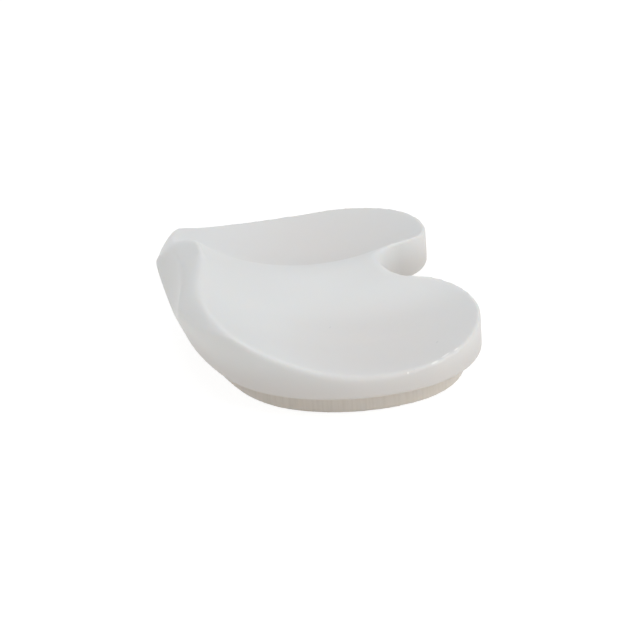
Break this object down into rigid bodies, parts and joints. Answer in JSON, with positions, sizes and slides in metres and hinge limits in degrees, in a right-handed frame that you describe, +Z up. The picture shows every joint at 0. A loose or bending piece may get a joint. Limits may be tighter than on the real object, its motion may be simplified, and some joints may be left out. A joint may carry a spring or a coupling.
{
  "type": "tibial insert",
  "caption": "Plastic bearing of a knee replacement: two dished bearing surfaces, a middle ridge, a raised front lip with a tendon relief, a rear notch and a stepped plug below.",
  "frame": {"origin": "under the middle of the piece's outline, on the flat underside of the plug", "axes": "+X across the knee (medial-lateral), +Y to the rear with the notch, -Y to the front with the raised lip, +Z up out of the dishes"},
  "size_m": [0.074, 0.0536, 0.0216],
  "materials": {
    "tibial_insert": "machined satin, milky white and slightly translucent"
  },
  "bodies": {
    "root": {"tibial_insert": "tibial_insert"}
  },
  "joints": []
}
